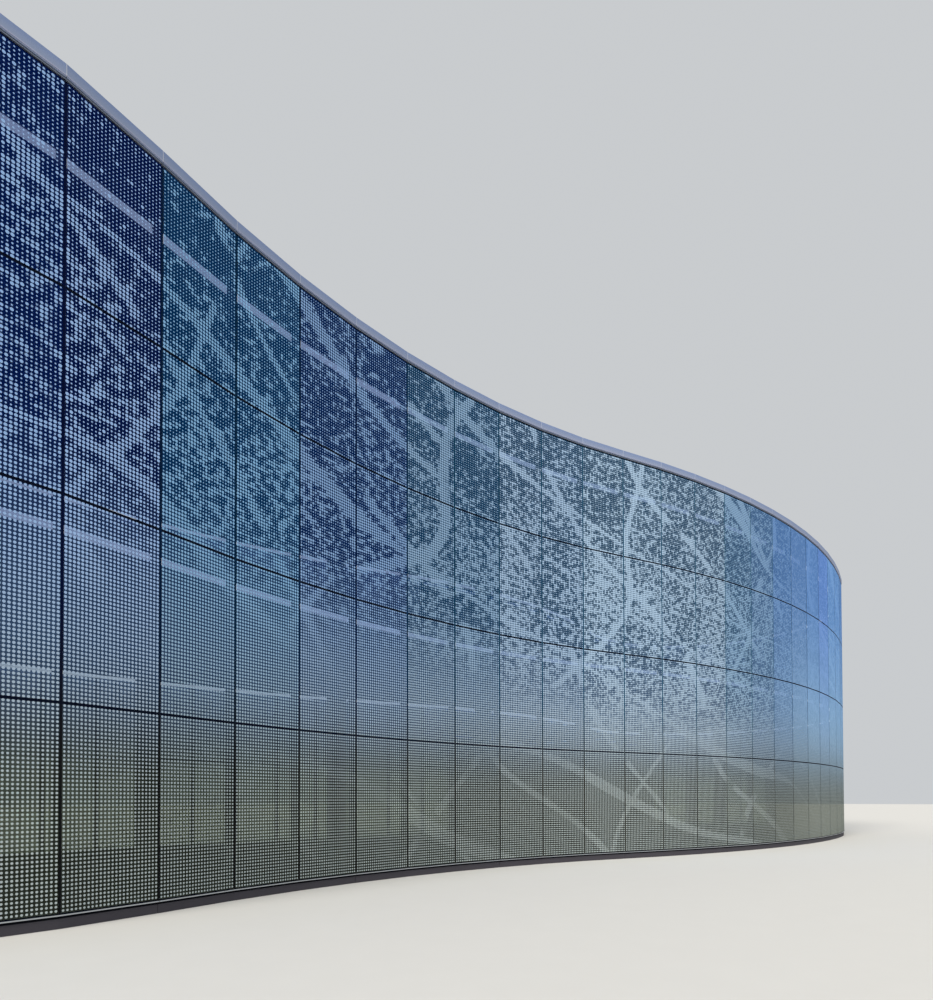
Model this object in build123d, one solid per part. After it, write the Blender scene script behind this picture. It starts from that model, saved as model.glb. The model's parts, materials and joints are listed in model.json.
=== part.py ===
from build123d import *
import os
from math import cos, pi, radians, sin, tan

# Two-storey laboratory building with a winding curtain wall of flat glass panels.
# X runs along the building, the front looks to -Y, and Z = 0 is the ground it stands on.

# Plan: one half of the outline as runs of equal panels, in the order met going round
# anticlockwise. The other half is the same turned by 180 degrees, so the outline closes.
# A turn is the angle of one panel's arc, in degrees.
panel_width = 1300.0
lead_panels = 2
lead_heading = 8.0
lead_turn = 8.0
hollow_panels = 9
hollow_turn = 4.0
bulge_panels = 12
bulge_turn = 2.65
end_panels = 12
end_turn = (180.0 - lead_panels * lead_turn + hollow_panels * hollow_turn
            - bulge_panels * bulge_turn) / end_panels

# Heights, from the ground up
plinth_height = 120.0
base_gap = 35.0
sill_thickness = 15.0
sill_seal = 15.0
row_height = 2500.0
row_count = 4
head_gap = 55.0
coping_height = 160.0
slab_thickness = 300.0
roof_drop = 430.0

# Glass wall
glass_thickness = 30.0
joint_width = 36.0
seal_recess = 6.0
mullion_width = 60.0
mullion_depth = 150.0

# Edge pieces
piece_gap = 8.0
ribbon_panels = 3
plinth_setback = 20.0
plinth_thickness = 210.0
sill_overhang = 10.0
base_setback = 60.0
head_setback = 45.0
coping_overhang = 15.0
coping_width = 400.0
coping_fall = 12.0
coping_lip = 15.0
coping_lip_setback = 6.0
parapet_thickness = 150.0

# Inside
band_setback = 200.0
band_thickness = 60.0
band_height = 75.0
column_size = 350.0
column_inset = 4600.0
column_lead_panels = 1
column_bay_panels = 3
column_count = 8

sill_base = plinth_height + base_gap
sill_top = sill_base + sill_thickness
glass_base = sill_top + sill_seal
glass_top = glass_base + row_height * row_count
head_top = glass_top + head_gap
wall_depth = glass_thickness + mullion_depth
floor_level = glass_base + row_height * row_count / 2
floor_base = floor_level - slab_thickness
roof_level = glass_top - roof_drop
roof_base = roof_level - slab_thickness


def half_outline():
    """Joints, headings and run names of one half. The wall bends in tangent arcs, out and in."""
    runs = [
        ("lead", lead_panels, lead_turn),
        ("hollow", hollow_panels, -hollow_turn),
        ("bulge", bulge_panels, bulge_turn),
        ("end", end_panels, end_turn),
    ]
    names = [name for name, count, _ in runs for _ in range(count)]
    turns = [turn for _, count, turn in runs for _ in range(count)]
    at = Vector(0, 0, 0)
    heading = lead_heading
    joints = []
    headings = []
    for index, turn in enumerate(turns):
        if index:
            heading += (turns[index - 1] + turn) / 2
        joints.append(at)
        headings.append(heading)
        at += Vector(cos(radians(heading)), sin(radians(heading)), 0) * panel_width
    middle = at * 0.5
    return [joint - middle for joint in joints], headings, names


joints, headings, run_names = half_outline()
half_count = len(joints)


def along(index):
    """Unit vector along a panel, counted from the first one of the front."""
    angle = radians(headings[index % half_count] + 180.0 * (index // half_count))
    return Vector(cos(angle), sin(angle), 0)


def inward(index):
    """Unit vector from a panel's glass face into the building."""
    direction = along(index)
    return Vector(-direction.Y, direction.X, 0)


def joint_point(index):
    """The joint at a panel's start, on the outer face of the glass."""
    point = joints[index % half_count]
    return point if (index // half_count) % 2 == 0 else point * -1


def half_turn(index):
    """Half of the turn, in radians, that the wall makes at a panel's first joint."""
    return along(index - 1).get_signed_angle(along(index), Vector(0, 0, 1)) * pi / 360


def plan_point(index, distance, depth):
    """Point in plan at a distance along a panel and a depth behind the glass face."""
    return joint_point(index) + along(index) * distance + inward(index) * depth


def mitred(index, depth, gap):
    """The two ends of a strip at one depth, mitred at both joints and held back by half a gap."""
    start = depth * tan(half_turn(index)) + gap / 2
    end = panel_width - depth * tan(half_turn(index + 1)) - gap / 2
    return plan_point(index, start, depth), plan_point(index, end, depth)


def prism(points, base, top):
    """Upright solid on a polygon in plan."""
    face = make_face(Polyline([(p.X, p.Y, base) for p in points], close=True))
    return extrude(face, amount=top - base, dir=(0, 0, 1))


def ribbon(indexes, outer, inner, base, top):
    """Length that follows neighbouring panels, bent at each joint and mitred at its two ends."""
    first, last = indexes[0], indexes[-1]
    outline = [mitred(first, outer, piece_gap)[0]]
    outline += [mitred(i, outer, 0)[0] for i in indexes[1:]]
    outline += [mitred(last, outer, piece_gap)[1], mitred(last, inner, piece_gap)[1]]
    outline += [mitred(i, inner, 0)[0] for i in indexes[:0:-1]]
    outline += [mitred(first, inner, piece_gap)[0]]
    return prism(outline, base, top)


def ribbons(indexes, outer, inner, base, top):
    """The same piece round a stretch of wall, in lengths of a few panels."""
    lengths = [indexes[i:i + ribbon_panels] for i in range(0, len(indexes), ribbon_panels)]
    return [ribbon(length, outer, inner, base, top) for length in lengths]


def pane(index, row):
    """One flat sheet of glass, with rows counted from the bottom."""
    base = glass_base + row * row_height + (joint_width / 2 if row else 0)
    top = glass_base + (row + 1) * row_height - (joint_width / 2 if row < row_count - 1 else 0)
    start = joint_width / 2
    end = panel_width - joint_width / 2
    corners = [(start, 0), (end, 0), (end, glass_thickness), (start, glass_thickness)]
    return prism([plan_point(index, x, d) for x, d in corners], base, top)


def at_joint(index, side, depth):
    """Point in plan beside a joint: side is its distance from the mitre line, before or after it."""
    shift = depth * tan(half_turn(index))
    if side < 0:
        return plan_point(index - 1, panel_width - shift + side, depth)
    return plan_point(index, shift + side, depth)


def mullion(index):
    """Upright behind a joint. Its front and back are bent with the wall, so both panes lie flat on it."""
    half = mullion_width / 2
    front = [at_joint(index, side, glass_thickness) for side in (-half, 0, half)]
    back = [at_joint(index, side, wall_depth) for side in (half, 0, -half)]
    return prism(front + back, sill_top, glass_top)


def coping(index):
    """Metal cap of one panel's length: a plain face over a thin lip, its top falling inward."""
    outer = -coping_overhang
    inner = outer + coping_width
    lip = outer + coping_lip_setback
    top = head_top + coping_height
    profile = [(lip, head_top), (inner, head_top), (inner, top - coping_fall), (outer, top),
               (outer, head_top + coping_lip), (lip, head_top + coping_lip)]
    start = plan_point(index, -coping_width, 0)
    section = [start + inward(index) * depth + Vector(0, 0, z) for depth, z in profile]
    body = extrude(make_face(Polyline(section, close=True)), amount=panel_width + 2 * coping_width,
                   dir=along(index))
    for joint, sign in ((index, 1), (index + 1, -1)):
        mitre = at_joint(joint, 0, coping_width) - joint_point(joint)
        edge = joint_point(joint) + along(index) * (sign * piece_gap / 2)
        cut = Plane(edge, x_dir=mitre, z_dir=mitre.cross(Vector(0, 0, sign)))
        body = split(body, bisect_by=cut, keep=Keep.TOP)
    return body


def slab(depth, base, top):
    """Floor plate with its edge at one depth behind the glass all the way round."""
    return prism([at_joint(i, 0, depth) for i in range(2 * half_count)], base, top)


def columns(base, top):
    """Row of square columns along the middle of the building, in line with joints of the front."""
    solids = []
    for number in range(column_count):
        joint = column_lead_panels + number * column_bay_panels
        centre = at_joint(joint, 0, column_inset)
        turned = Rot(Z=headings[joint] - half_turn(joint) * 180 / pi)
        solids.append(Pos(centre.X, centre.Y, base) * turned * Box(
            column_size, column_size, top - base, align=(Align.CENTER, Align.CENTER, Align.MIN)))
    return solids


def save(name, solids):
    """One node: its solids in one file of its name."""
    export_step(Compound(children=list(solids)), f"parts/{name}.step")


def sections():
    """Panels of each stretch of wall, by name, front half first."""
    found = {}
    for index in range(2 * half_count):
        run = run_names[index % half_count]
        front = index < half_count
        name = f"{'front' if front else 'back'}_{run}"
        if run == "end":
            name = "east_end" if front else "west_end"
        found.setdefault(name, []).append(index)
    return found


os.makedirs("parts", exist_ok=True)
stretches = sections()
sides = {}
for name, indexes in stretches.items():
    sides.setdefault(name if "end" in name else name.split("_")[0], []).append(indexes)
storey_rows = row_count // 2
plinth_inner = plinth_setback + plinth_thickness
parapet_inner = wall_depth + parapet_thickness
band_inner = band_setback + band_thickness


def all_round(outer, inner, base, top):
    """One kind of long piece round the whole building."""
    return [length for indexes in stretches.values() for length in ribbons(indexes, outer, inner, base, top)]


for name, indexes in stretches.items():
    save(f"{name}_glass_lower", [pane(i, row) for i in indexes for row in range(storey_rows)])
    save(f"{name}_glass_upper", [pane(i, row) for i in indexes for row in range(storey_rows, row_count)])

for name, parts in sides.items():
    indexes = [i for part in parts for i in part]
    save(f"{name}_mullions", [mullion(i) for i in indexes])
    save(f"{name}_coping", [coping(i) for i in indexes])
    save(f"{name}_plinth", [length for part in parts for length in
                            ribbons(part, plinth_setback, plinth_inner, 0, plinth_height)])
    save(f"{name}_parapet", [length for part in parts for length in
                             ribbons(part, wall_depth, parapet_inner, roof_level, head_top)])

for number in range(1, row_count):
    middle = glass_base + number * row_height
    save(f"row_rail_{number}", all_round(seal_recess, glass_thickness, middle - joint_width / 2,
                                         middle + joint_width / 2))
save("base_rail", all_round(base_setback, plinth_inner, plinth_height, sill_base))
save("sill", all_round(-sill_overhang, plinth_inner, sill_base, sill_top))
save("glazing_bead", all_round(seal_recess, glass_thickness, sill_top, glass_base))
save("head_rail", all_round(head_setback, wall_depth, glass_top, head_top))

save("ground_slab", [slab(plinth_inner, 0, glass_base)])
save("upper_floor_slab", [slab(wall_depth, floor_base, floor_level)])
save("roof_slab", [slab(wall_depth, roof_base, roof_level)])
save("lower_columns", columns(glass_base, floor_base))
save("upper_columns", columns(floor_level, roof_base))
save("lower_ceiling_band", all_round(band_setback, band_inner, floor_base - band_height, floor_base))
save("upper_ceiling_band", all_round(band_setback, band_inner, roof_base - band_height, roof_base))
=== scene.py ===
import bpy
import json
import math
import numpy as np
from mathutils import Matrix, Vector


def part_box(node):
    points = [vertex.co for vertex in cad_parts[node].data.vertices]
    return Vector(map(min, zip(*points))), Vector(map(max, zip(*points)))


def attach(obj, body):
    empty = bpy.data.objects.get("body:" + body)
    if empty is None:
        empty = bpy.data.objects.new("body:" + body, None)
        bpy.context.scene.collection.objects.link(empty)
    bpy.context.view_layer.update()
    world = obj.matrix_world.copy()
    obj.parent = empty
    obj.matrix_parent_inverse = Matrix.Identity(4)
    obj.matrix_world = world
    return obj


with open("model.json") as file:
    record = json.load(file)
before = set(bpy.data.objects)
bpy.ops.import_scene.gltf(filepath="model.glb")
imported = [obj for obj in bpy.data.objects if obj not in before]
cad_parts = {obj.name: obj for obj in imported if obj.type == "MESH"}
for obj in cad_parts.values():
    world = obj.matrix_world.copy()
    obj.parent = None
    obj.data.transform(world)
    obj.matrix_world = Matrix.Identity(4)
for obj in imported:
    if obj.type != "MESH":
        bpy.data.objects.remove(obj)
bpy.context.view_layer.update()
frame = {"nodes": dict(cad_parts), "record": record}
nodes = frame["nodes"]

# plan of the glass wall, in metres and degrees, as runs of equal flat panels; a turn is the angle of
# one panel's arc, and the second half of the outline is the first one turned by 180 degrees
wallPlan = {
    "panelWidth": 1.3,
    "leadPanels": 2,
    "leadHeading": 8.0,
    "leadTurn": 8.0,
    "hollowPanels": 9,
    "hollowTurn": 4.0,
    "bulgePanels": 12,
    "bulgeTurn": 2.65,
    "endPanels": 12,
    "rows": 4,
    "jointWidth": 0.036,
}


def outlineOf(plan):
    # heading of a panel = heading of the lead + running sum of the mean turn of each two neighbours;
    # joint = running sum of the panels' vectors, less half of the whole, so the centre is the origin
    endTurn = (180 - plan["leadPanels"] * plan["leadTurn"] + plan["hollowPanels"] * plan["hollowTurn"]
               - plan["bulgePanels"] * plan["bulgeTurn"]) / plan["endPanels"]
    turns = np.repeat([plan["leadTurn"], -plan["hollowTurn"], plan["bulgeTurn"], endTurn],
                      [plan["leadPanels"], plan["hollowPanels"], plan["bulgePanels"], plan["endPanels"]])
    steps = np.concatenate([[0.0], (turns[:-1] + turns[1:]) / 2])
    headings = np.radians(plan["leadHeading"] + np.cumsum(steps))
    vectors = plan["panelWidth"] * np.stack([np.cos(headings), np.sin(headings)], axis=1)
    ends = np.cumsum(vectors, axis=0)
    starts = np.vstack([np.zeros(2), ends[:-1]]) - ends[-1] / 2
    return np.vstack([starts, -starts]), np.concatenate([headings, headings + math.pi])


joints, headings = outlineOf(wallPlan)   # where each panel starts, and which way it runs
panelCount = len(joints)
panelWidth = wallPlan["panelWidth"]
paneEdge = wallPlan["jointWidth"] / 2    # from the joint line to the edge of a pane
alongWall = np.stack([np.cos(headings), np.sin(headings)], axis=1)
intoWall = np.stack([-np.sin(headings), np.cos(headings)], axis=1)
# half of the change of heading at each joint, kept within a quarter turn to either side
halfTurns = (headings - np.roll(headings, 1) + math.pi) % (2 * math.pi) / 2 - math.pi / 2

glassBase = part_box("front_lead_glass_lower")[0][2]
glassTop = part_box("front_lead_glass_upper")[1][2]
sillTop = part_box("sill")[1][2]
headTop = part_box("head_rail")[1][2]
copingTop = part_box("front_coping")[1][2]
rowHeight = (glassTop - glassBase) / wallPlan["rows"]

endNames = {"front": "east_end", "back": "west_end"}
stretches = {}                           # the numbers of the panels of each stretch, by its name
stretchStart = 0
for half in ("front", "back"):
    for run in ("lead", "hollow", "bulge", "end"):
        stretchName = endNames[half] if run == "end" else f"{half}_{run}"
        stretchEnd = stretchStart + wallPlan[run + "Panels"]
        stretches[stretchName] = np.arange(stretchStart, stretchEnd)
        stretchStart = stretchEnd
print("plan ready:", panelCount, "panels")


def planPoint(panels, distance, depth):
    # point = joint + distance along the panel + depth inwards from the glass face
    return joints[panels] + alongWall[panels] * distance + intoWall[panels] * depth


def mitreShift(panels, depth):
    # a line at one depth starts later by depth times the tangent of half the turn at the joint
    return depth * np.tan(halfTurns[panels])


def jointBisector(panels):
    # unit vector inwards at each panel's first joint = sum of the inward vectors of the two panels
    # that meet there, divided by its length
    inward = intoWall[(panels - 1) % panelCount] + intoWall[panels]
    return inward / np.linalg.norm(inward, axis=1)[:, None]


def meshPiece(name, points, faceGroups, material):
    # a group is an array of faces that have the same number of corners
    faces = sum((group.tolist() for group in faceGroups), [])
    mesh = bpy.data.meshes.new(name)
    mesh.from_pydata(points.reshape(-1, 3).tolist(), [], faces)
    mesh.update()
    piece = bpy.data.objects.new(name, mesh)
    bpy.context.scene.collection.objects.link(piece)
    mesh.materials.append(material)
    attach(piece, "root")
    return piece


def boxPiece(name, plan, heights, material):
    # one box for each four plan corners, carried straight up from the first height to the second:
    # corners 0 to 3 at the foot and 4 to 7 at the head
    box = np.array([[0, 3, 2, 1], [4, 5, 6, 7], [0, 1, 5, 4], [1, 2, 6, 5], [2, 3, 7, 6], [3, 0, 4, 7]])
    points = np.empty((len(plan), 2, 4, 3))
    points[..., :2] = plan[:, None]
    points[..., 2] = np.array(heights)[None, :, None]
    faces = (np.arange(len(plan)) * 8)[:, None, None] + box[None]
    return meshPiece(name, points, [faces.reshape(-1, 4)], material)


def writeColours(piece, layerName, domain, values):
    # values hold red, green, blue and alpha for each corner or point of the mesh
    colours = piece.data.color_attributes.new(layerName, "FLOAT_COLOR", domain)
    colours.data.foreach_set("color", np.ascontiguousarray(values).ravel())


def newMaterial(name):
    material = bpy.data.materials.new(name)
    material.use_nodes = True
    tree = material.node_tree
    tree.nodes.clear()
    output = tree.nodes.new("ShaderNodeOutputMaterial")
    return material, tree, output


def addNode(tree, kind, settings=None, **inputs):
    # an input is named by i and its number, or by its label with _ for each space
    node = tree.nodes.new(kind)
    for key, value in (settings or {}).items():
        setattr(node, key, value)
    for key, value in inputs.items():
        numbered = key[0] == "i" and key[1:].isdigit()
        socket = node.inputs[int(key[1:]) if numbered else key.replace("_", " ")]
        if isinstance(value, bpy.types.NodeSocket):
            tree.links.new(value, socket)
        else:
            socket.default_value = value
    return node


def maths(tree, operation, first, second=0.0, third=0.0):
    return addNode(tree, "ShaderNodeMath", {"operation": operation}, i0=first, i1=second, i2=third).outputs[0]


def vectorMaths(tree, operation, first, second=(0.0, 0.0, 0.0)):
    return addNode(tree, "ShaderNodeVectorMath", {"operation": operation}, i0=first, i1=second).outputs[0]


def partsOf(tree, vector):
    return addNode(tree, "ShaderNodeSeparateXYZ", i0=vector).outputs


def flatNoise(tree, place, scale, detail, roughness):
    node = addNode(tree, "ShaderNodeTexNoise", {"noise_dimensions": "2D"}, Vector=place, Scale=scale,
                   Detail=detail, Roughness=roughness)
    return node.outputs


def smoothRange(tree, value, low, high, toLow=0.0, toHigh=1.0):
    node = addNode(tree, "ShaderNodeMapRange", {"interpolation_type": "SMOOTHSTEP"}, Value=value,
                   From_Min=low, From_Max=high, To_Min=toLow, To_Max=toHigh)
    return node.outputs[0]


def mixNumber(tree, factor, first, second):
    return addNode(tree, "ShaderNodeMix", i0=factor, i2=first, i3=second).outputs[0]


def mixColour(tree, factor, first, second):
    node = addNode(tree, "ShaderNodeMix", {"data_type": "RGBA"}, i0=factor, i6=first, i7=second)
    return node.outputs[2]


def mixShader(tree, factor, first, second):
    return addNode(tree, "ShaderNodeMixShader", i0=factor, i1=first.outputs[0], i2=second.outputs[0])


# the dotted coat: lengths in metres, heights above the foot of the glass, radii as shares of the pitch;
# what a densely dappled panel adds is given for a density of 1
frit = {
    "columns": 25,                       # dots across one pane
    "lines": 50,                         # dots up one pane
    "columnPitch": 0.0508,
    "linePitch": 0.0497,
    "clearSide": 0.015,                  # from the joint line to the first column's cell
    "clearFoot": 0.0075,
    "dotBlur": 0.03,                     # half of the soft rim of a dot
    "seedScale": 97.0,                   # sets the chances of one pane's dots apart from the next one's
    "proud": 0.0006,                     # in front of the glass face
    "sheetPanels": 6,                    # most panels in one sheet
    # plain dots near the ground
    "groundDot": 0.29,
    "middleDot": 0.35,
    "plainHeights": (1.8, 3.2),          # from the ground dot to the middle one
    "plainExtra": (0.035, 0.09),         # what a densely dappled panel adds to them, low and higher up
    "plainExtraHeights": (2.0, 3.6),
    # dapples above them
    "smallDot": 0.19,
    "largeDot": 0.415,
    "denseExtra": 0.08,                  # what a densely dappled panel adds to its larger dots
    "dappleHeights": (3.9, 6.3),         # from the plain dots to the dapples
    "denseReach": 2.0,                   # how much lower that is on a densely dappled panel
    "dappleScale": 6.8,                  # specks per metre
    "dappleDetail": 1.5,
    "dappleRoughness": 0.55,
    "dappleLean": 0.6,                   # radians
    "dappleStretch": (0.8, 1.3, 1.0),
    "dappleScatter": 0.28,               # how far single dots leave their speck
    "denseScatter": 0.24,                # what a densely dappled panel adds to that
    "dappleLimits": (0.40, 0.62),        # from the smallest dots to the largest
    "coverScale": 0.7,                   # slow noise that makes some parts of the wall denser
    "coverDetail": 1.0,
    "coverRoughness": 0.5,
    "coverMiddle": 0.59,
    "coverShare": 0.30,
    "denseShare": 0.10,                  # how much denser a densely dappled panel is
    "topHeights": (6.8, 9.0),            # where the dapples thin out
    "topLoss": 0.10,
    # currents: bands of even dots
    "ribbonDot": 0.39,
    "ribbonStep": 0.01,                  # how much larger than the ground dot theirs is low down
    "ribbonHeights": (1.5, 5.0),         # from that dot to the full one
    "ribbonExtra": 0.12,                 # what a densely dappled panel adds to them
    "swayScale": (0.13, 0.19, 1.0),      # slow noise, along the wall and up it
    "swayDetail": 0.6,
    "swayRoughness": 0.35,
    "mainSpacing": 2.45,                 # between the flat currents
    "mainSlope": 0.30,
    "mainSway": 3.4,
    "mainHalf": (0.04, 0.13),            # half of their width, from the thinnest to the widest
    "mainHalfNoise": (0.38, 0.62),
    "mainEdge": 0.01,                    # half of their soft edge
    "rising": {"slope": 0.85, "sway": 4.5, "halfSpacing": 1.9, "edge": (0.13, 0.11)},
    "falling": {"slope": -0.7, "sway": 4.5, "halfSpacing": 2.7, "edge": (0.10, 0.08)},
    "slantedCover": (0.38, 0.46),        # cover at which the slanted currents come in
    # coat and dots
    "opacity": 0.30,                     # share of the glass between the dots that the coat covers
    "groundCoat": (0.052, 0.062, 0.045, 1),
    "middleCoat": (0.11, 0.22, 0.42, 1),
    "middleCoatHeights": (1.6, 3.4),
    "tintHeights": (3.0, 6.0),           # from the middle coat to the panel's own tint
    "groundClearTone": (0.60, 0.66, 0.58, 1),
    "clearTone": (0.34, 0.41, 0.58, 1),
    "clearHeights": (1.6, 4.0),
    "groundEnamel": (0.46, 0.53, 0.55, 1),
    "enamelHeights": (0.8, 5.5),         # from the ground enamel to the panel's dot tone, which carries a painted blue cast of skylight
    # reflection
    "groundSteepShine": (0.055, 0.060, 0.050, 1),   # seen square on, from the ground up
    "steepShine": (0.010, 0.045, 0.28, 1),
    "groundGrazingShine": (0.30, 0.33, 0.30, 1),    # seen along the wall, from the ground up
    "lowGrazingShine": (0.45, 0.72, 1.00, 1),
    "grazingShine": (0.14, 0.41, 1.00, 1),
    "ownShine": 0.5,                     # share of the panel's dot tone in the last of them
    "groundShineHeights": (1.0, 4.5),
    "lowShineHeights": (2.5, 9.0),
    "toneFacing": (0.35, 0.75),          # from square on to along the wall
    "shineIndex": 1.9,
    "shareFacing": (0.36, 0.70),
    "grazingShare": 0.75,                # share of the light that is mirrored along the wall
    "shineRoughness": 0.03,
}
# glass between the dots, the dots' pale enamel with a painted blue cast of skylight, and how densely the
# panel is dappled
tintColours = {
    "navy": ((0.001, 0.018, 0.155), (0.33, 0.52, 0.84), 0.00),
    "violet": ((0.001, 0.012, 0.125), (0.40, 0.61, 0.97), 0.00),
    "teal": ((0.001, 0.090, 0.260), (0.30, 0.57, 0.86), 0.00),
    "indigo": ((0.001, 0.040, 0.200), (0.30, 0.49, 0.78), 0.12),
    "sea": ((0.012, 0.115, 0.250), (0.32, 0.49, 0.69), 0.30),
    "fjord": ((0.035, 0.140, 0.270), (0.40, 0.56, 0.76), 0.50),
    "slate": ((0.055, 0.165, 0.290), (0.42, 0.58, 0.76), 0.70),
    "mist": ((0.055, 0.190, 0.330), (0.33, 0.51, 0.71), 0.70),
    "sky": ((0.050, 0.180, 0.440), (0.30, 0.49, 0.78), 0.60),
    "lake": ((0.040, 0.150, 0.360), (0.30, 0.46, 0.74), 0.60),
    "iris": ((0.035, 0.135, 0.360), (0.29, 0.47, 0.82), 0.60),
    "cobalt": ((0.040, 0.160, 0.480), (0.32, 0.49, 1.00), 0.60),
    "azure": ((0.050, 0.220, 0.520), (0.38, 0.62, 1.00), 0.60),
}
# tints of one half of the outline from its left end
tintOrder = ("navy violet teal teal indigo indigo sea sea fjord fjord slate slate slate slate mist mist "
             "sky lake iris cobalt azure azure lake teal navy violet indigo teal sea slate slate mist "
             "sky indigo navy").split()
panelLooks = [tintColours[tintOrder[i % len(tintOrder)]] for i in range(panelCount)]
panelTints = np.array([look[0] for look in panelLooks])
panelDotsSkyCast = np.array([look[1] for look in panelLooks])
panelDensities = np.array([look[2] for look in panelLooks])


def dotCells(tree, seed):
    # cell = place on the pane / pitch, and its whole part is the dot's number; radius = distance to the
    # middle of the cell, where the pattern of the wall is read, so that each dot has one size
    pane = addNode(tree, "ShaderNodeUVMap", {"uv_map": "pane"}).outputs[0]
    wall = addNode(tree, "ShaderNodeUVMap", {"uv_map": "wall"}).outputs[0]
    pitch = (frit["columnPitch"], frit["linePitch"], 1.0)
    inset = vectorMaths(tree, "SUBTRACT", pane, (frit["clearSide"], frit["clearFoot"], 0.0))
    cell = vectorMaths(tree, "DIVIDE", inset, pitch)
    number = vectorMaths(tree, "FLOOR", cell)
    local = vectorMaths(tree, "SUBTRACT", cell, number)
    local = vectorMaths(tree, "SUBTRACT", local, (0.5, 0.5, 0.0))
    radius = addNode(tree, "ShaderNodeVectorMath", {"operation": "LENGTH"}, i0=local).outputs[1]
    place = vectorMaths(tree, "SUBTRACT", wall, vectorMaths(tree, "MULTIPLY", local, pitch))
    column, line, _ = partsOf(tree, number)
    printedColumn = maths(tree, "COMPARE", column, (frit["columns"] - 1) / 2, frit["columns"] / 2)
    printedLine = maths(tree, "COMPARE", line, (frit["lines"] - 1) / 2, frit["lines"] / 2)
    printed = maths(tree, "MULTIPLY", printedColumn, printedLine)
    paneId = maths(tree, "MULTIPLY", seed, frit["seedScale"])
    dotId = addNode(tree, "ShaderNodeCombineXYZ", i0=column, i1=line, i2=paneId).outputs[0]
    chance = addNode(tree, "ShaderNodeTexWhiteNoise", {"noise_dimensions": "3D"}, Vector=dotId).outputs[0]
    return radius, place, printed, chance


def dappledSize(tree, place, height, cover, chance, density):
    # specks a few dots across with single dots off size, and plain dots below them
    lean = addNode(tree, "ShaderNodeMapping", Vector=place, Rotation=(0.0, 0.0, frit["dappleLean"]),
                   Scale=frit["dappleStretch"]).outputs[0]
    speck = flatNoise(tree, lean, frit["dappleScale"], frit["dappleDetail"], frit["dappleRoughness"])[0]
    scatter = maths(tree, "MULTIPLY_ADD", density, frit["denseScatter"], frit["dappleScatter"])
    offMiddle = maths(tree, "SUBTRACT", cover, frit["coverMiddle"])
    thinning = smoothRange(tree, height, *frit["topHeights"], 0.0, frit["topLoss"])
    speck = maths(tree, "MULTIPLY_ADD", maths(tree, "SUBTRACT", chance, 0.5), scatter, speck)
    speck = maths(tree, "MULTIPLY_ADD", offMiddle, frit["coverShare"], speck)
    speck = maths(tree, "MULTIPLY_ADD", density, frit["denseShare"], speck)
    speck = maths(tree, "SUBTRACT", speck, thinning)
    largeDot = maths(tree, "MULTIPLY_ADD", density, frit["denseExtra"], frit["largeDot"])
    dapple = mixNumber(tree, smoothRange(tree, speck, *frit["dappleLimits"]), frit["smallDot"], largeDot)
    plain = smoothRange(tree, height, *frit["plainHeights"], frit["groundDot"], frit["middleDot"])
    plainExtra = smoothRange(tree, height, *frit["plainExtraHeights"], *frit["plainExtra"])
    plain = maths(tree, "MULTIPLY_ADD", density, plainExtra, plain)
    reach = maths(tree, "MULTIPLY_ADD", density, frit["denseReach"], height)
    return mixNumber(tree, smoothRange(tree, reach, *frit["dappleHeights"]), plain, dapple)


def slantedBand(tree, across, height, sway, kind):
    # a band where the ping-pong of across + slope * height + sway * noise is under its edge
    lean = maths(tree, "MULTIPLY_ADD", height, kind["slope"], across)
    swayed = maths(tree, "MULTIPLY_ADD", sway, kind["sway"], lean)
    return smoothRange(tree, maths(tree, "PINGPONG", swayed, kind["halfSpacing"]), *kind["edge"])


def currentBands(tree, place, cover):
    # a loose weave of bands that sway with a slow noise, flat ones and two slanted kinds
    across, height, _ = partsOf(tree, place)
    slow = vectorMaths(tree, "MULTIPLY", place, frit["swayScale"])
    sway = partsOf(tree, flatNoise(tree, slow, 1.0, frit["swayDetail"], frit["swayRoughness"])[1])
    level = maths(tree, "MULTIPLY_ADD", across, frit["mainSlope"], height)
    shifted = maths(tree, "MULTIPLY_ADD", sway[0], frit["mainSway"], level)
    mainGap = maths(tree, "PINGPONG", shifted, frit["mainSpacing"] / 2)
    mainHalf = smoothRange(tree, sway[1], *frit["mainHalfNoise"], *frit["mainHalf"])
    flat = smoothRange(tree, maths(tree, "SUBTRACT", mainGap, mainHalf), frit["mainEdge"], -frit["mainEdge"])
    rising = slantedBand(tree, across, height, sway[2], frit["rising"])
    falling = slantedBand(tree, across, height, sway[1], frit["falling"])
    slanted = maths(tree, "MAXIMUM", rising, falling)
    slanted = maths(tree, "MULTIPLY", slanted, smoothRange(tree, cover, *frit["slantedCover"]))
    return maths(tree, "MAXIMUM", flat, slanted)


def coatShader(tree, height, dots, tint, tone):
    # the panel's own tint above, paler and clearer towards the ground, with the dots on it: pale enamel with
    # a painted blue cast of skylight
    coatShare = smoothRange(tree, height, *frit["middleCoatHeights"])
    clearShare = smoothRange(tree, height, *frit["clearHeights"])
    enamelShare = smoothRange(tree, height, *frit["enamelHeights"])
    lower = mixColour(tree, coatShare, frit["groundCoat"], frit["middleCoat"])
    body = mixColour(tree, smoothRange(tree, height, *frit["tintHeights"]), lower, tint)
    coat = addNode(tree, "ShaderNodeBsdfDiffuse", Color=body)
    clearTone = mixColour(tree, clearShare, frit["groundClearTone"], frit["clearTone"])
    clear = addNode(tree, "ShaderNodeBsdfTransparent", Color=clearTone)
    between = mixShader(tree, frit["opacity"], clear, coat)
    # painted light: the dots' tone lays a blue cast of skylight on the pale enamel
    enamelSkyTone = mixColour(tree, enamelShare, frit["groundEnamel"], tone)
    enamel = addNode(tree, "ShaderNodeBsdfDiffuse", Color=enamelSkyTone)
    return mixShader(tree, dots, between, enamel)


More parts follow.
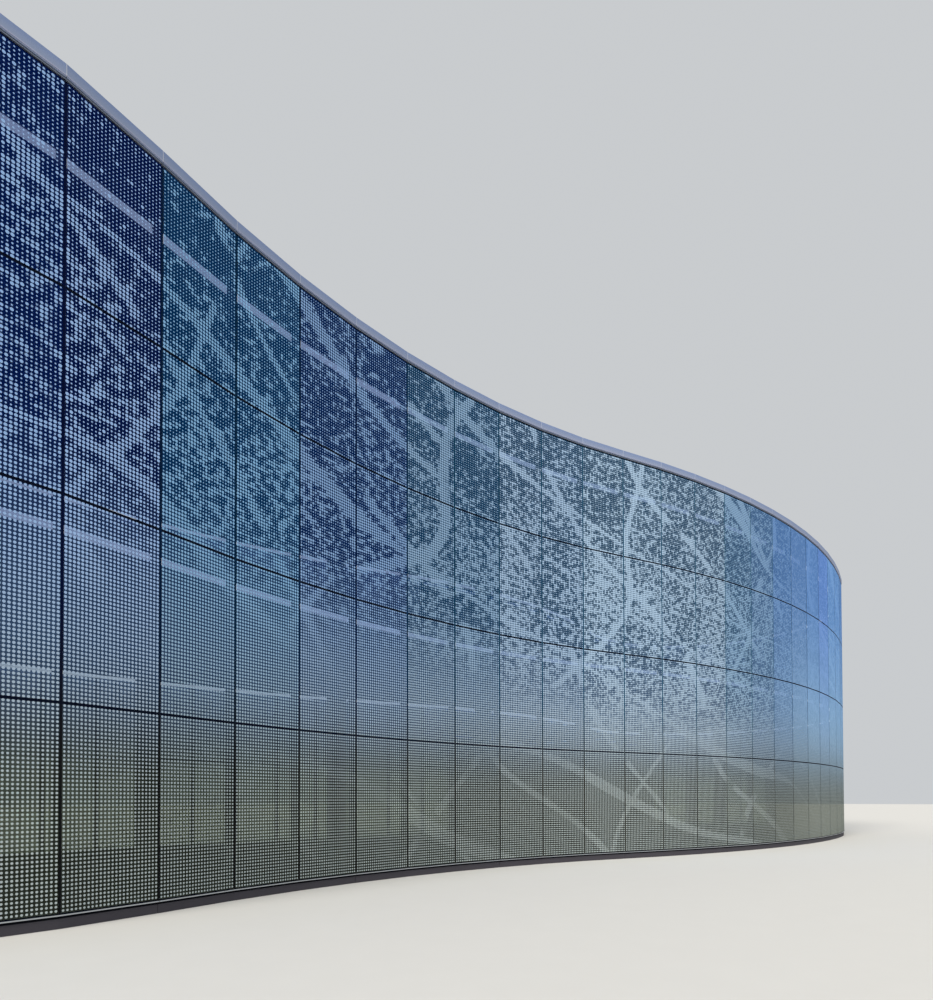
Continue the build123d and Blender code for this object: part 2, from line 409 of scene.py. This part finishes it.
def withShine(tree, height, tone, printed):
    # mirrored share = the larger of the Fresnel share and a smooth step of the facing angle
    facing = addNode(tree, "ShaderNodeLayerWeight", Blend=0.5).outputs[1]
    aboveGround = smoothRange(tree, height, *frit["groundShineHeights"])
    steep = mixColour(tree, aboveGround, frit["groundSteepShine"], frit["steepShine"])
    aslant = mixColour(tree, frit["ownShine"], frit["grazingShine"], tone)
    higher = smoothRange(tree, height, *frit["lowShineHeights"])
    aslant = mixColour(tree, higher, frit["lowGrazingShine"], aslant)
    aslant = mixColour(tree, aboveGround, frit["groundGrazingShine"], aslant)
    shineTone = mixColour(tree, smoothRange(tree, facing, *frit["toneFacing"]), steep, aslant)
    gloss = addNode(tree, "ShaderNodeBsdfGlossy", Color=shineTone, Roughness=frit["shineRoughness"])
    shine = addNode(tree, "ShaderNodeFresnel", IOR=frit["shineIndex"]).outputs[0]
    grazing = smoothRange(tree, facing, *frit["shareFacing"], 0.0, frit["grazingShare"])
    return mixShader(tree, maths(tree, "MAXIMUM", shine, grazing), printed, gloss)


def fritMaterial():
    # a dot shows where its size exceeds the distance to the middle of its cell, all in pitches; the mesh
    # holds the panel's tint with a seed for each pane as alpha, and the dots' tone, pale enamel with a
    # painted blue cast of skylight, with the density
    material, tree, output = newMaterial("dotted coated glass")
    tint, seed = addNode(tree, "ShaderNodeVertexColor", {"layer_name": "tint"}).outputs
    tone, density = addNode(tree, "ShaderNodeVertexColor", {"layer_name": "dotToneSkyCast"}).outputs
    radius, place, printed, chance = dotCells(tree, seed)
    height = partsOf(tree, place)[1]
    cover = flatNoise(tree, place, frit["coverScale"], frit["coverDetail"], frit["coverRoughness"])[0]
    size = dappledSize(tree, place, height, cover, chance, density)
    lowDot = frit["groundDot"] + frit["ribbonStep"]
    ribbonDot = smoothRange(tree, height, *frit["ribbonHeights"], lowDot, frit["ribbonDot"])
    ribbonDot = maths(tree, "MULTIPLY_ADD", density, frit["ribbonExtra"], ribbonDot)
    size = mixNumber(tree, currentBands(tree, place, cover), size, ribbonDot)
    inside = maths(tree, "SUBTRACT", size, radius)
    dots = maths(tree, "MULTIPLY", printed, smoothRange(tree, inside, -frit["dotBlur"], frit["dotBlur"]))
    whole = withShine(tree, height, tone, coatShader(tree, height, dots, tint, tone))
    tree.links.new(whole.outputs[0], output.inputs[0])
    return material


def fritSheet(name, panels, material):
    # one quad a pane: corners at (edge, width - edge) along the panel and (base, top) of the row,
    # a hair in front of the glass face
    rowCount = wallPlan["rows"]
    rows = np.arange(rowCount)
    foot = np.where(rows > 0, paneEdge, 0)
    head = rowHeight - np.where(rows < rowCount - 1, paneEdge, 0)
    along = np.array([paneEdge, panelWidth - paneEdge])[[0, 1, 1, 0]]
    points = np.empty((len(panels), rowCount, 4, 3))
    points[..., :2] = planPoint(panels[:, None], along[None, :, None], -frit["proud"])[:, None]
    local = np.empty(points.shape[:3] + (2,))
    local[..., 0] = along
    local[..., 1] = np.stack([foot, foot, head, head], axis=1)[None]
    points[..., 2] = glassBase + rows[None, :, None] * rowHeight + local[..., 1]
    faces = np.arange(points.size // 3).reshape(-1, 4)
    sheet = meshPiece(name, points, [faces], material)
    developed = np.stack([local[..., 0] + panels[:, None, None] * panelWidth,
                          points[..., 2] - glassBase], axis=-1)
    for layerName, places in (("pane", local), ("wall", developed)):
        layer = sheet.data.uv_layers.new(name=layerName)
        layer.data.foreach_set("uv", places.astype(np.float32).ravel())
    seeds = (panels[:, None] * rowCount + rows[None]) / (rowCount * panelCount)
    shades = np.empty((2,) + points.shape[:3] + (4,), np.float32)
    shades[0, ..., :3] = panelTints[panels][:, None, None]
    shades[0, ..., 3] = seeds[:, :, None]
    shades[1, ..., :3] = panelDotsSkyCast[panels][:, None, None]
    shades[1, ..., 3] = panelDensities[panels][:, None, None]
    writeColours(sheet, "tint", "CORNER", shades[0])
    writeColours(sheet, "dotToneSkyCast", "CORNER", shades[1])
    return sheet


fritFinish = fritMaterial()
for name, panels in stretches.items():
    sheetCount = math.ceil(len(panels) / frit["sheetPanels"])
    for number, part in enumerate(np.array_split(panels, sheetCount), 1):
        fritSheet(f"{name}_dotted_coat_{number}", part, fritFinish)
print("dotted coat ready")

# what all plain finishes share
surface = {
    "noiseDetail": 4.0,
    "noiseRoughness": 0.6,
    "roughnessSpread": 0.06,
    "reliefDepth": 0.002,                # metres
}


def simpleFinish(name, colour, roughness, metallic=0.0, grain=20.0, bump=0.05, spread=0.12, alpha=1.0,
                 paintedGlow=0.0, specular=0.5):
    # colour and roughness vary with a noise on object coordinates, and the same noise gives a faint relief
    material, tree, output = newMaterial(name)
    where = addNode(tree, "ShaderNodeTexCoord").outputs["Object"]
    noise = addNode(tree, "ShaderNodeTexNoise", Vector=where, Scale=grain, Detail=surface["noiseDetail"],
                    Roughness=surface["noiseRoughness"]).outputs[0]
    dark = tuple(c * (1 - spread) for c in colour) + (1,)
    light = tuple(min(1, c * (1 + spread)) for c in colour) + (1,)
    rough = addNode(tree, "ShaderNodeMapRange", Value=noise, To_Min=roughness - surface["roughnessSpread"],
                    To_Max=roughness + surface["roughnessSpread"]).outputs[0]
    relief = addNode(tree, "ShaderNodeBump", Strength=bump, Distance=surface["reliefDepth"], Height=noise)
    shader = addNode(tree, "ShaderNodeBsdfPrincipled", Base_Color=mixColour(tree, noise, dark, light),
                     Roughness=rough, Metallic=metallic, Normal=relief.outputs[0], Alpha=alpha,
                     Specular_IOR_Level=specular)
    # painted glow: emission in the finish's own colour, for a part that is no lamp
    if paintedGlow:
        shader.inputs["Emission Color"].default_value = tuple(colour) + (1,)
        shader.inputs["Emission Strength"].default_value = paintedGlow
    tree.links.new(shader.outputs[0], output.inputs[0])
    return material


def openFinish(material):
    # gives what a finish needs to be toned by height: its tree, its colour socket with the colour that
    # is linked to it, and the height above the ground
    tree = material.node_tree
    shader = next(n for n in tree.nodes if n.type == "BSDF_PRINCIPLED")
    colourSocket = shader.inputs["Base Color"]
    where = addNode(tree, "ShaderNodeTexCoord").outputs["Object"]
    return tree, colourSocket, colourSocket.links[0].from_socket, partsOf(tree, where)[2]


# the low and hem tones are painted light: a lighter lower face against shade, and a highlight on the drip
# fold
coping = {
    "faceTone": (0.195, 0.262, 0.45),
    "paintedLowLight": (0.25, 0.305, 0.45, 1),
    "hemHighlight": (0.33, 0.36, 0.50, 1),
    "lowHeight": 0.03,                   # metres above the head rail, where the painted lighter tone is full
    "hemFoot": (0.008, 0.012),           # above the head rail, from the lighter tone to the painted highlight of the hem
    "hemHead": (0.034, 0.028),           # and from the lighter tone down to the painted highlight of the hem
}


def copingFinish():
    # satin metal with painted light: slightly paler lower down against the shade on its lower face, and a
    # painted highlight as a paler hem along its foot
    material = simpleFinish("satin grey coping with painted light", coping["faceTone"], 0.50, 0.20, grain=6.0, bump=0.02,
                            spread=0.08)
    tree, colourSocket, faceTone, height = openFinish(material)
    paintedLightShare = smoothRange(tree, height, copingTop, headTop + coping["lowHeight"])
    toned = mixColour(tree, paintedLightShare, faceTone, coping["paintedLowLight"])
    hemFoot = smoothRange(tree, height, *[headTop + h for h in coping["hemFoot"]])
    hemHead = smoothRange(tree, height, *[headTop + h for h in coping["hemHead"]])
    hem = maths(tree, "MULTIPLY", hemFoot, hemHead)
    tree.links.new(mixColour(tree, hem, toned, coping["hemHighlight"]), colourSocket)
    return material


finishes = {
    "glass": simpleFinish("clear glass", (0.30, 0.42, 0.46), 0.08, alpha=0.12, bump=0.0),
    "mullion_metal": simpleFinish("dark anodised uprights", (0.014, 0.015, 0.019), 0.45, 0.3),
    "coping_metal": copingFinish(),
    "plinth_stone": simpleFinish("dark plinth", (0.045, 0.042, 0.055), 0.8, grain=60, bump=0.4),
    "concrete": simpleFinish("plain concrete", (0.16, 0.16, 0.165), 0.85, grain=12, bump=0.4),
    "joint_seal": simpleFinish("black seal", (0.0015, 0.0040, 0.0150), 0.65, specular=0.04),
    "dark_rail": simpleFinish("black rail", (0.003, 0.004, 0.010), 0.6, specular=0.1),
    "sill_metal": simpleFinish("anodised sill", (0.45, 0.48, 0.52), 0.35, 0.8),
    # the ceiling band is no lamp: its glow is painted light, so it shows pale through the dark glass
    "ceiling_band": simpleFinish("pale ceiling band with painted glow", (0.78, 0.83, 0.88), 0.6, paintedGlow=1.05),
}
slotOf = {entry["node"]: entry["material_slot"] for entry in frame["record"]["subparts"]}
for name, node in nodes.items():
    node.data.materials.clear()
    node.data.materials.append(finishes[slotOf[name]])
print("finishes ready")

# the seal's colour is painted reflection and sunlight: its black is lightened by the panels' tints, and is
# grey near the ground on densely dappled panels
seals = {
    "front": 0.003,                      # depth of the seal's edges behind the glass face, in metres
    "back": 0.028,
    "dip": 0.003,                        # how far its middle lies deeper
    "frontPoints": 7,
    "paintedReflectionShare": 0.25,                   # how much of the panels' tint the seal has, as painted reflection and sunlight
    "densePaintedReflectionShare": 0.57,              # what a density of 1 adds to that
    "groundTone": (0.008, 0.009, 0.010, 1),
    "densePaintedGroundGrey": (0.070, 0.075, 0.070, 1),
    "tintHeights": (2.0, 4.2),           # above the ground, from the ground tones to the painted tint
}


def sealFinish():
    # the mesh holds the seal's colour, painted reflection and sunlight taken from the tints of its two
    # panels, and in its alpha how densely they are dappled, which sets the painted grey that the seal has
    # near the ground
    material = simpleFinish("seal with painted reflection", (0.9, 0.9, 0.9), 0.65, specular=0.04)
    tree, colourSocket, grainTone, height = openFinish(material)
    tint, density = addNode(tree, "ShaderNodeVertexColor", {"layer_name": "tint"}).outputs
    low = mixColour(tree, density, seals["groundTone"], seals["densePaintedGroundGrey"])
    tint = mixColour(tree, smoothRange(tree, height, *seals["tintHeights"]), low, tint)
    tree.links.new(vectorMaths(tree, "MULTIPLY", tint, grainTone), colourSocket)
    return material


def uprightSeals(name, panels, material):
    # plan section from pane edge to pane edge with a front of depth = front + dip * (1 - t * t) for
    # t from -1 to 1, and a straight back, carried straight up from the sill to the top of the glass
    t = np.linspace(-1, 1, seals["frontPoints"])
    frontDepth = seals["front"] + seals["dip"] * (1 - t * t)
    before = (panels - 1) % panelCount
    left = planPoint(before, panelWidth - paneEdge, 0)
    right = planPoint(panels, paneEdge, 0)
    front = left[:, None] + (right - left)[:, None] * ((t + 1) / 2)[None, :, None]
    front = front + jointBisector(panels)[:, None] * frontDepth[None, :, None]
    backRight = planPoint(panels, paneEdge, seals["back"])
    backLeft = planPoint(before, panelWidth - paneEdge, seals["back"])
    ring = np.concatenate([front, backRight[:, None], backLeft[:, None]], axis=1)
    count = ring.shape[1]
    points = np.empty((len(panels), 2, count, 3))
    points[..., :2] = ring[:, None]
    points[..., 2] = np.array([sillTop, glassTop])[None, :, None]
    start = (np.arange(len(panels)) * 2 * count)[:, None]
    i = np.arange(count)
    j = (i + 1) % count
    sides = np.stack([start + i, start + j, start + count + j, start + count + i], axis=-1).reshape(-1, 4)
    piece = meshPiece(name, points, [sides, start + i[::-1], start + count + i], material)
    # painted reflection and sunlight: a share of the panels' tints, larger on densely dappled panels
    paintedReflections = panelTints * (seals["paintedReflectionShare"] + seals["densePaintedReflectionShare"] * panelDensities)[:, None]
    shades = np.empty((len(panels), 2 * count, 4), np.float32)
    shades[..., :3] = (paintedReflections[before] + paintedReflections[panels])[:, None] / 2
    shades[..., 3] = (panelDensities[before] + panelDensities[panels])[:, None] / 2
    writeColours(piece, "tint", "POINT", shades)
    return piece


sealWithPaintedReflection = sealFinish()
for name, panels in stretches.items():
    uprightSeals(f"{name}_upright_seals", panels, sealWithPaintedReflection)
print("upright seals ready")

trim = {
    "depths": (-0.002, 0.004),           # metres from the glass face
    "heights": (0.031, 0.040),           # above the top of the glass
    "gap": 0.004,                        # half of the gap at a joint
}


def headTrim(name, panels, material):
    # a bar of rectangular section along each panel: ends held back by the gap and mitred,
    # at distance gap + shift(depth) and width - gap - shift(depth) of the next joint
    after = (panels + 1) % panelCount
    corners = []
    for depth in trim["depths"]:
        starts = trim["gap"] + mitreShift(panels, depth)
        ends = panelWidth - trim["gap"] - mitreShift(after, depth)
        corners += [planPoint(panels, starts[:, None], depth), planPoint(panels, ends[:, None], depth)]
    plan = np.stack([corners[0], corners[1], corners[3], corners[2]], axis=1)
    return boxPiece(name, plan, [glassTop + h for h in trim["heights"]], material)


plates = {
    "depths": (-0.0135, 0.010),          # metres from the glass face
    "halfWidth": 0.005,
    "foot": 0.017,                       # above the foot of the coping
    "head": 0.003,                       # below its top
}


def splicePlates(name, panels, material):
    # one upright plate in each gap of the coping: half width to both sides of the joint, along the
    # bisector of the two panels
    inward = jointBisector(panels)
    along = np.stack([inward[:, 1], -inward[:, 0]], axis=1)
    corners = []
    for side, depth in ((-1, 0), (1, 0), (1, 1), (-1, 1)):
        reach = plates["depths"][depth] / np.cos(halfTurns[panels])
        corners.append(joints[panels] + along * side * plates["halfWidth"] + inward * reach[:, None])
    heights = [headTop + plates["foot"], copingTop - plates["head"]]
    return boxPiece(name, np.stack(corners, axis=1), heights, material)


trimFinish = simpleFinish("pale trim", (0.21, 0.24, 0.31), 0.4, 0.3)
plateFinish = simpleFinish("bright splice", (0.62, 0.64, 0.70), 0.4, 0.2)
for name, panels in stretches.items():
    headTrim(f"{name}_head_trim", panels, trimFinish)
    splicePlates(f"{name}_coping_splices", panels, plateFinish)
print("trim and splices ready")

studio = {
    "floorHalf": 160,                    # metres from the middle to each side
    "floorTone": (0.62, 0.62, 0.61),
    "worldTone": (0.94, 0.97, 1.0, 1),
    "worldStrength": 0.62,
    "sunStrength": 3.8,
    "sunTone": (1.0, 0.93, 0.82),
    "sunAngle": 30,                      # degrees across its disc, for soft shadows
    "sunTilt": 54,                       # degrees from straight down
    "sunTurn": -70,
}
far = studio["floorHalf"]
floorMesh = bpy.data.meshes.new("floor")
floorMesh.from_pydata([(-far, -far, 0), (far, -far, 0), (far, far, 0), (-far, far, 0)], [], [(0, 1, 2, 3)])
floor = bpy.data.objects.new("floor", floorMesh)
bpy.context.scene.collection.objects.link(floor)
floorFinish = simpleFinish("pale floor", studio["floorTone"], 0.9, grain=2, bump=0.0, spread=0.02)
floorMesh.materials.append(floorFinish)

world = bpy.data.worlds.new("studio")
bpy.context.scene.world = world
world.use_nodes = True
background = world.node_tree.nodes["Background"]
background.inputs["Color"].default_value = studio["worldTone"]
background.inputs["Strength"].default_value = studio["worldStrength"]

sun = bpy.data.lights.new("soft key", "SUN")
sun.energy = studio["sunStrength"]
sun.angle = math.radians(studio["sunAngle"])
sun.color = studio["sunTone"]
sunObject = bpy.data.objects.new("soft key", sun)
bpy.context.scene.collection.objects.link(sunObject)
sunObject.rotation_euler = (math.radians(studio["sunTilt"]), 0, math.radians(studio["sunTurn"]))

view = {
    "eye": (-14.537, -14.721, 1.534),    # metres, in front of the left half
    "heading": 47.074,                   # degrees from +X
    "pitch": 1.014,                      # degrees upwards
    "roll": -0.150,
    "focalPixels": 686.2,                # focal length in pixels of the image
    "horizonRow": 786.24,                # image row of the lens axis
    "imageHeight": 1000.0,
    "sensorWidth": 36.0,                 # millimetres
    "clipEnd": 400.0,
}
cameraData = bpy.data.cameras.new("camera")
cameraData.sensor_width = view["sensorWidth"]
cameraData.lens = view["focalPixels"] / view["imageHeight"] * cameraData.sensor_width
cameraData.shift_y = view["horizonRow"] / view["imageHeight"] - 0.5
cameraData.clip_end = view["clipEnd"]
camera = bpy.data.objects.new("camera", cameraData)
bpy.context.scene.collection.objects.link(camera)
camera.matrix_world = (
    Matrix.Translation(view["eye"])
    @ Matrix.Rotation(math.radians(view["heading"] - 90), 4, "Z")
    @ Matrix.Rotation(math.radians(90 + view["pitch"]), 4, "X")
    @ Matrix.Rotation(math.radians(view["roll"]), 4, "Z")
)
bpy.context.scene.camera = camera
bpy.context.scene.view_settings.view_transform = "Standard"
print("camera ready")
